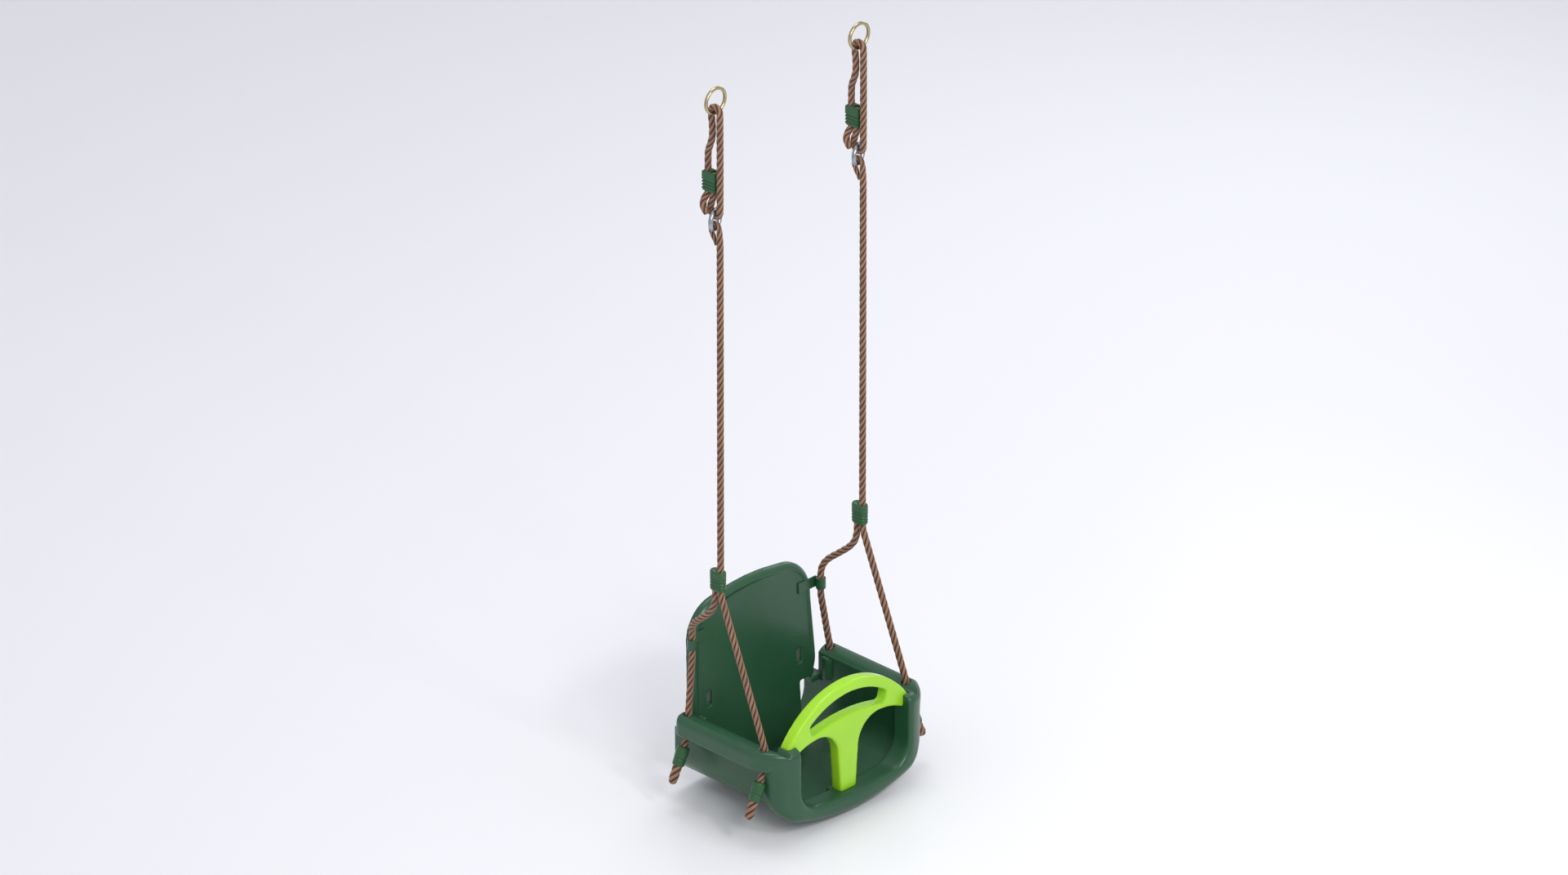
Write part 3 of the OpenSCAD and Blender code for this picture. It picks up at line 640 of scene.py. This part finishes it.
# Crossbar: outer arch, grip slot under it, two leg openings and a stem with a tongue.
ARCH, ARCH_TOP, RAIL = 0.180, 0.076, 0.021
BAR_FRONT, BAR_THICK, BAR_FOOT_Z = 0.140, 0.025, -0.1317
END_X, END_LOW = 0.150, (0.136, -0.025)
LEG, LEG_X, LEG_Z, SHOULDER = 0.050, 0.075, -0.058, 0.120
STEM_HALF, STEM_FLARE, STEM_FLARE_Z = 0.020, 0.002, -0.095
SLOT_HALF, SLOT_FLOOR_Z, SLOT_FLOOR_SAG, SLOT_END = 0.092, 0.014, 0.330, 0.006
SLOT_END_Z = 0.008
TONGUE_DEPTH, TONGUE_INSET = 0.016, 0.002


def both_halves(right):
    """A closed outline from its right half, which starts and ends on the middle line."""
    return right + [(-x, z) for x, z in reversed(right) if x > 1e-6]


def prism(name, outline, y_front, y_back):
    """A closed solid with an outline in X and Z between two places along Y."""
    count = len(outline)
    points = [(x, y, z) for y in (y_front, y_back) for x, z in outline]
    faces = [tuple(range(count)), tuple(range(2 * count - 1, count - 1, -1))]
    faces += [(i, (i + 1) % count, count + (i + 1) % count, count + i) for i in range(count)]
    return mesh_object(name, points, faces)


def crossbar_blank(name):
    """The crossbar with square edges, before they are rounded."""
    arch_z = ARCH_TOP - ARCH
    end_angle = math.degrees(math.acos(END_X / ARCH))
    right = [(0, BAR_FOOT_Z), (STEM_HALF, BAR_FOOT_Z), (STEM_HALF + STEM_FLARE, STEM_FLARE_Z)]
    right += arc(LEG_X, LEG_Z, LEG, 180, 90, 30)
    right += arc(LEG_X, LEG_Z + LEG - SHOULDER, SHOULDER, 84, 60, 12)
    right += [END_LOW] + arc(0, arch_z, ARCH, end_angle, 90, 60)
    inner = ARCH - RAIL
    top_angle = math.degrees(math.acos((SLOT_HALF - SLOT_END) / (inner - SLOT_END)))
    floor = [(x, SLOT_FLOOR_Z - SLOT_FLOOR_SAG + math.sqrt(SLOT_FLOOR_SAG ** 2 - x * x))
             for x in [(SLOT_HALF - SLOT_END) * i / 24 for i in range(25)]]
    slot = floor + arc(SLOT_HALF - SLOT_END, SLOT_END_Z, SLOT_END, -70, 0, 8)
    slot += arc(0, arch_z, inner, top_angle - 3, 90, 40)
    front = ROPE_LINE_Y - BAR_FRONT
    made = prism(name, [(x, z + RIM_TOP_Z) for x, z in both_halves(right)], front, front + BAR_THICK)
    cutter = prism("slot_cutter", [(x, z + RIM_TOP_Z) for x, z in both_halves(slot)], front - 0.01,
                   front + BAR_THICK + 0.01)
    cut = made.modifiers.new("slot", "BOOLEAN")
    cut.object = cutter
    bpy.context.view_layer.update()
    solid = bpy.data.meshes.new_from_object(made.evaluated_get(bpy.context.evaluated_depsgraph_get()))
    made.modifiers.clear()
    made.data = solid
    bpy.data.objects.remove(cutter)
    half, top = STEM_HALF - TONGUE_INSET, RIM_TOP_Z + BAR_FOOT_Z + 0.01
    tongue = prism("tongue", [(-half, top), (half, top), (half, top - 0.01 - TONGUE_DEPTH),
                              (-half, top - 0.01 - TONGUE_DEPTH)],
                   front + TONGUE_INSET, front + BAR_THICK - TONGUE_INSET)
    work = bmesh.new()
    work.from_mesh(made.data)
    work.from_mesh(tongue.data)
    work.to_mesh(made.data)
    work.free()
    bpy.data.objects.remove(tongue)
    return made


shell = softened(node_copy("seat_shell", "bucket_seat"), SHELL_VOXEL, SHELL_PASSES)
crown_rims(shell)
round_lip(shell)
dress(shell, SEAT_GREEN, "seat", "seat_shell")
panel = softened(node_copy("backrest", "backrest_panel"), BACKREST_VOXEL, BACKREST_PASSES)
roll_edge(panel)
dress(panel, SEAT_GREEN, "seat", "backrest")
bar = softened(crossbar_blank("lime_crossbar"), CROSSBAR_VOXEL, CROSSBAR_PASSES)
dress(bar, LIME, "crossbar", "crossbar")


# Rope fittings: slider blocks, junction sleeves, stop sleeves, stop collars and rope straps.
# Small green mouldings pushed over the ropes. The junction sleeve has a fat top bead and three
# ribs. Each stop is a sleeve and a collar whose torn edges meet in a toothed seam.
FITTING_VOXEL, FITTING_PASSES = 0.0005, 2
AROUND = 72
JUNCTION_TOP, JUNCTION_HEIGHT, JUNCTION_REACH = -0.905, 0.038, 0.00975
BACK_ROPE_SHIFT, JUNCTION_FLOOR, DIMPLE = 0.0126, 0.0085, 0.003
RIBS, RIB_START, RIB_PITCH, RIB_DEPTH = 3, 0.0145, 0.0062, 0.0017
SLEEVE_BORE = 0.00615
BLOCK_SKIN_X, BLOCK_SKIN_Y = 0.0068, 0.0136
BLOCK_GROOVE_Z, BLOCK_GROOVE_PITCH = -0.01216, 0.00608
BLOCK_GROOVE_HALF, BLOCK_GROOVE_DEPTH = 0.0013, 0.0008
STOP_X, STOP_Z, STOP_LEAN = 0.0117, -1.274, math.radians(26)
STOP_LENGTH, STOP_REACH, STOP_ROUND = 0.021, 0.0115, 0.0038
COLLAR_LENGTH, COLLAR_REACH, COLLAR_BORE, SEAM = 0.014, 0.011, 0.00835, 0.0003
TEETH, TOOTH = 18, 0.0007
FRONT_HOLE_Y, BACK_HOLE_Y = -0.1175, 0.0685


def looped(name, rings):
    """A closed solid from rings of equal count, the last joined to the first."""
    count = len(rings[0])
    faces = []
    for i in range(len(rings)):
        a, b = i * count, (i + 1) % len(rings) * count
        faces += [(a + k, a + (k + 1) % count, b + (k + 1) % count, b + k) for k in range(count)]
    return mesh_object(name, [point for ring in rings for point in ring], faces)


def oval_ring(x, y, z, reach, shift):
    """A ring round two circles a shift apart along Y."""
    ring = []
    for k in range(AROUND):
        a = 2 * math.pi * k / AROUND
        stretch = shift if math.sin(a) > 0 else 0
        ring.append(Vector((x + reach * math.cos(a), y + reach * math.sin(a) + stretch, z)))
    return ring


def deepen_grooves(made):
    """Sinks the slider block's grip grooves evenly into its outer skin."""
    points = mesh_points(made)
    centre = (points.max(axis=0) + points.min(axis=0)) / 2
    from_centre = points - centre
    skin = (np.abs(from_centre[:, 0]) > BLOCK_SKIN_X) | (np.abs(from_centre[:, 1]) > BLOCK_SKIN_Y)
    notch = np.zeros(len(points))
    for k in range(3):
        from_groove = from_centre[:, 2] - BLOCK_GROOVE_Z - k * BLOCK_GROOVE_PITCH
        notch = np.maximum(notch, np.exp(-(from_groove / BLOCK_GROOVE_HALF) ** 4))
    for axis in (0, 1):
        points[:, axis] -= BLOCK_GROOVE_DEPTH * notch * skin * np.sign(from_centre[:, axis]) * (
            np.abs(from_centre[:, axis]) > (BLOCK_SKIN_X, BLOCK_SKIN_Y)[axis])
    set_points(made, points)


def junction_sleeve(name, side):
    """The oval sleeve: outer wall with bead and ribs, inner wall that closes over the back rope."""
    x, steps, rings = side * ROPE_X, 76, []
    for i in range(steps + 1):
        down = JUNCTION_HEIGHT * i / steps
        reach = JUNCTION_REACH
        if down < STOP_ROUND:
            reach -= 0.75 * float(quarter_round(down, STOP_ROUND))
        phase = (down - RIB_START) / RIB_PITCH
        if 0 < phase < RIBS:
            reach -= RIB_DEPTH * (0.5 + 0.5 * math.cos(2 * math.pi * phase)) ** 1.6
        ribs_end = RIB_START + RIBS * RIB_PITCH
        left_over = (down - ribs_end) / (JUNCTION_HEIGHT - ribs_end)
        if left_over > 0:
            reach -= RIB_DEPTH * max(1 - 4 * left_over, 0) + 0.0016 * left_over ** 2
        rings.append(oval_ring(x, ROPE_LINE_Y, JUNCTION_TOP - down, reach, BACK_ROPE_SHIFT))
    floor = JUNCTION_TOP - JUNCTION_FLOOR
    rings.append(oval_ring(x, ROPE_LINE_Y, JUNCTION_TOP - JUNCTION_HEIGHT, SLEEVE_BORE, BACK_ROPE_SHIFT))
    rings.append(oval_ring(x, ROPE_LINE_Y, floor, SLEEVE_BORE, BACK_ROPE_SHIFT))
    rings.append(oval_ring(x, ROPE_LINE_Y, floor + 0.0005, SLEEVE_BORE, 0))
    rings.append(oval_ring(x, ROPE_LINE_Y, JUNCTION_TOP - DIMPLE, SLEEVE_BORE, 0))
    return looped(name, rings)


def turned(name, base, axis, profile):
    """A closed lathe shape round an axis, profile as (reach, along, share of a tooth)."""
    side = axis.orthogonal().normalized()
    across = axis.cross(side)
    rings = []
    for reach, along, share in profile:
        ring = []
        for k in range(AROUND):
            a = 2 * math.pi * k / AROUND
            tooth = TOOTH * share * math.sin(TEETH * a) * (1 + 0.4 * math.sin(5 * a))
            spoke = math.cos(a) * side + math.sin(a) * across
            ring.append(base + (along + tooth) * axis + reach * spoke)
        rings.append(ring)
    return looped(name, rings)


def stop_pair(side, y):
    """The stop sleeve and the stop collar on one leaning rope end."""
    base = Vector((side * (ROPE_X + STOP_X), y, STOP_Z))
    axis = Vector((side * math.sin(STOP_LEAN), 0, -math.cos(STOP_LEAN)))
    shoulder = [(STOP_REACH - float(quarter_round(d, STOP_ROUND)), d, 0)
                for d in [STOP_ROUND * i / 8 for i in range(9)]]
    sleeve = [(SLEEVE_BORE, 0, 0)] + shoulder + [
        (STOP_REACH + 0.0003, STOP_LENGTH * 0.6, 0), (STOP_REACH, STOP_LENGTH - 0.003, 0),
        (STOP_REACH - 0.0002, STOP_LENGTH - 0.0008, 1), (STOP_REACH - 0.0008, STOP_LENGTH, 1),
        (SLEEVE_BORE, STOP_LENGTH, 1)]
    start = STOP_LENGTH + SEAM
    end = start + COLLAR_LENGTH
    collar = [(COLLAR_BORE, start, 1), (COLLAR_REACH - 0.0008, start, 1),
              (COLLAR_REACH - 0.0001, start + 0.0008, 1), (COLLAR_REACH, start + 0.003, 0),
              (COLLAR_REACH - 0.0001, end - 0.0035, 0), (COLLAR_REACH - 0.0005, end - 0.0012, 0),
              (COLLAR_REACH - 0.0013, end - 0.0002, 0), (COLLAR_BORE + 0.0004, end, 0),
              (COLLAR_BORE, end - 0.0004, 0)]
    return turned("stop_sleeve", base, axis, sleeve), turned("stop_collar", base, axis, collar)


for side_name in SIDES:
    side = SIDES[side_name]
    for stem, body, green in (("slider_block_", side_name + "_slider", FITTING_GREEN),
                              ("rope_strap_", "seat", SEAT_GREEN)):
        fitting = softened(node_copy(stem + side_name, "moulded_" + stem + side_name), FITTING_VOXEL,
                           FITTING_PASSES)
        if stem == "slider_block_":
            deepen_grooves(fitting)
        dress(fitting, green, body, stem + side_name)
    sleeve = junction_sleeve("ribbed_junction_" + side_name, side)
    dress(sleeve, FITTING_GREEN, "seat", "rope_junction_" + side_name)
    for hole, y in (("front", FRONT_HOLE_Y), ("back", BACK_HOLE_Y)):
        for part, made in zip(("stop_sleeve_", "stop_collar_"), stop_pair(side, y)):
            made.name = "turned_" + part + hole + "_" + side_name
            dress(made, FITTING_GREEN, "seat", part + hole + "_" + side_name)


# Metal rings: a polished brass ring hangs each side, a zinc-plated ring links adjuster and rope.
# Bent wire welded shut, polished, with fine rub marks.
HANGING_RING = (0.023, 0.00325)
LINK_RING = (0.0177, 0.0042)
LINK_PLACE, LINK_YAW = (0.001, -0.227), math.radians(18)


def wire_ring(name, sizes, turn, place):
    """A closed wire ring in the XZ plane, turned and set in place."""
    around, across = 128, 28
    radius, wire = sizes
    points = []
    for i in range(around):
        u = 2 * math.pi * i / around
        for k in range(across):
            v = 2 * math.pi * k / across
            reach = radius + wire * math.cos(v)
            points.append(Vector(place) + turn @ Vector((reach * math.cos(u), wire * math.sin(v),
                                                         reach * math.sin(u))))
    faces = []
    for i in range(around):
        for k in range(across):
            a, b, j = i * across, (i + 1) % around * across, (k + 1) % across
            faces.append((a + k, a + j, b + j, b + k))
    return mesh_object(name, points, faces)


def metal_material(name, colour, tarnish, roughness):
    """Polished metal with slow tarnish and fine rub marks."""
    material, tree, shader = new_material(name)
    drift = drift_node(tree, 120, 2200)
    tone = ramp_node(tree, drift.outputs["Drift"], [(0.35, tarnish), (0.62, colour)])
    tree.links.new(tone, shader.inputs["Base Color"])
    shader.inputs["Metallic"].default_value = 1.0
    rough = maths(tree, "ADD", maths(tree, "MULTIPLY", drift.outputs["Drift"], 0.12), roughness - 0.06)
    tree.links.new(rough, shader.inputs["Roughness"])
    bump(tree, shader, drift.outputs["Speckle"], 0.06, 0.0002)
    return material


BRASS = metal_material("polished_brass", (0.50, 0.42, 0.24, 1), (0.43, 0.36, 0.20, 1), 0.24)
ZINC = metal_material("zinc_plate", (0.40, 0.41, 0.43, 1), (0.33, 0.34, 0.36, 1), 0.28)
for side_name, side in SIDES.items():
    ring = wire_ring("brass_ring_" + side_name, HANGING_RING, Matrix.Identity(3), (side * ROPE_X, 0, 0))
    dress(ring, BRASS, "hanging_rings", "hanging_ring_" + side_name)
    ring = wire_ring("zinc_ring_" + side_name, LINK_RING, Matrix.Rotation(LINK_YAW, 3, "Z"),
                     (side * ROPE_X, LINK_PLACE[0], LINK_PLACE[1]))
    dress(ring, ZINC, side_name + "_link", "link_ring_" + side_name)
